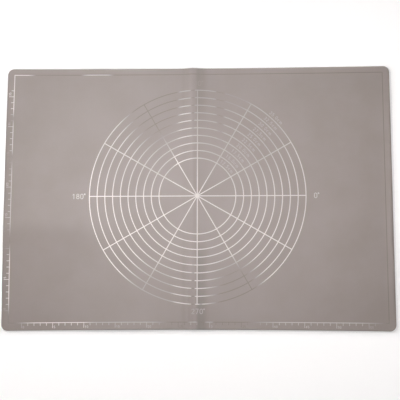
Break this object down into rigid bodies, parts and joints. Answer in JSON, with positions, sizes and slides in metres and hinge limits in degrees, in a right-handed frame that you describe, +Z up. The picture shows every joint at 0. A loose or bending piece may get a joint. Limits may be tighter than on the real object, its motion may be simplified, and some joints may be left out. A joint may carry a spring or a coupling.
{
  "type": "silicone baking mat",
  "caption": "Thin rectangular silicone baking mat with rounded corners, printed with size rings, spokes, a border line and centimetre rulers; it folds over along a crease.",
  "frame": {"origin": "on the table, under the middle of the flat mat", "axes": "+X along the long side, to the right as the print reads, +Y to the back edge, +Z up"},
  "size_m": [0.625, 0.427, 0.0011],
  "materials": {
    "silicone": "matt",
    "ink": "gloss"
  },
  "bodies": {
    "right_half": {"sheet_right_half": "silicone", "angle_label_0_degrees": "ink", "angle_label_270_degrees": "ink", "angle_label_90_degrees": "ink", "border_line_right": "ink", "front_ruler_numbers_right": "ink", "front_ruler_ticks_right": "ink", "ring_01_right": "ink", "ring_01_size": "ink", "ring_02_right": "ink", "ring_02_size": "ink", "ring_03_right": "ink", "ring_03_size": "ink", "ring_04_right": "ink", "ring_04_size": "ink", "ring_05_right": "ink", "ring_05_size": "ink", "ring_06_right": "ink", "ring_06_size": "ink", "ring_07_right": "ink", "ring_07_size": "ink", "ring_08_right": "ink", "ring_08_size": "ink", "ring_09_right": "ink", "ring_09_size": "ink", "ring_10_right": "ink", "ring_10_size": "ink", "spoke_0_degrees": "ink", "spoke_270_degrees": "ink", "spoke_300_degrees": "ink", "spoke_30_degrees": "ink", "spoke_330_degrees": "ink", "spoke_60_degrees": "ink", "spoke_90_degrees": "ink", "spoke_hub": "ink"},
    "left_half": {"sheet_left_half": "silicone", "angle_label_180_degrees": "ink", "border_line_left": "ink", "front_ruler_numbers_left": "ink", "front_ruler_ticks_left": "ink", "ring_01_left": "ink", "ring_02_left": "ink", "ring_03_left": "ink", "ring_04_left": "ink", "ring_05_left": "ink", "ring_06_left": "ink", "ring_07_left": "ink", "ring_08_left": "ink", "ring_09_left": "ink", "ring_10_left": "ink", "side_ruler_numbers": "ink", "side_ruler_ticks": "ink", "spoke_120_degrees": "ink", "spoke_150_degrees": "ink", "spoke_180_degrees": "ink", "spoke_210_degrees": "ink", "spoke_240_degrees": "ink"}
  },
  "joints": [
    {"name": "fold", "type": "hinge", "parent": "right_half", "child": "left_half", "pos_m": [-0.0094, 0, 0.002], "axis": [0, 1, 0], "range_deg": [0, 180]}
  ]
}
